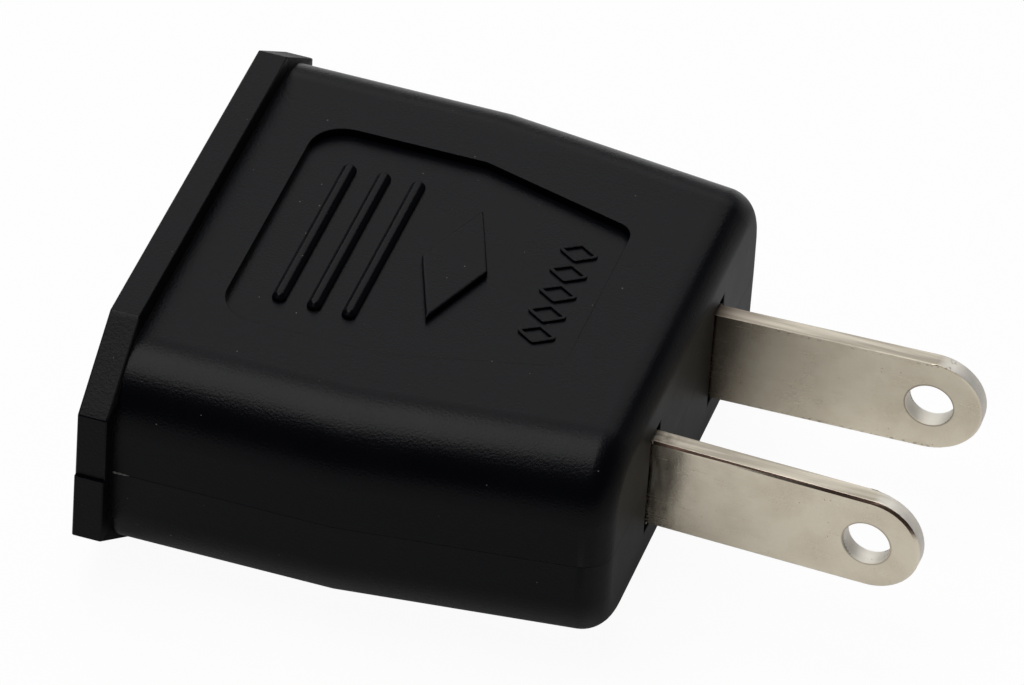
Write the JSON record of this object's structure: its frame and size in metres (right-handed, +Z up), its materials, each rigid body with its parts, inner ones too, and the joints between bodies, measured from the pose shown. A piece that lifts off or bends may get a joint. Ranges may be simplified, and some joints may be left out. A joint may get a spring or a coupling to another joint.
{
  "type": "plug adapter",
  "caption": "Flat black travel adapter: round-pin sockets in an octagonal flange at one end, flat parallel blades with holes at the other.",
  "frame": {"origin": "under the middle of the adapter's whole length, on the surface it lies on, with the case's parting plane level above it", "axes": "+X along the adapter from the socket end towards the blade tips, +Y across it towards the left blade, +Z up through the face with the raised bars"},
  "size_m": [0.0486, 0.0378, 0.0169],
  "materials": {
    "black_case": "satin black moulded plastic",
    "plated_blade": "bright nickel plating",
    "contact_brass": "bare brass strip",
    "screw_steel": "zinc-plated steel"
  },
  "bodies": {
    "root": {"upper_shell": "black_case", "lower_shell": "black_case", "left_blade": "plated_blade", "right_blade": "plated_blade", "left_pin_clip": "contact_brass", "right_pin_clip": "contact_brass", "left_front_rivet": "contact_brass", "left_rear_rivet": "contact_brass", "right_front_rivet": "contact_brass", "right_rear_rivet": "contact_brass", "casing_screw": "screw_steel"}
  },
  "joints": []
}
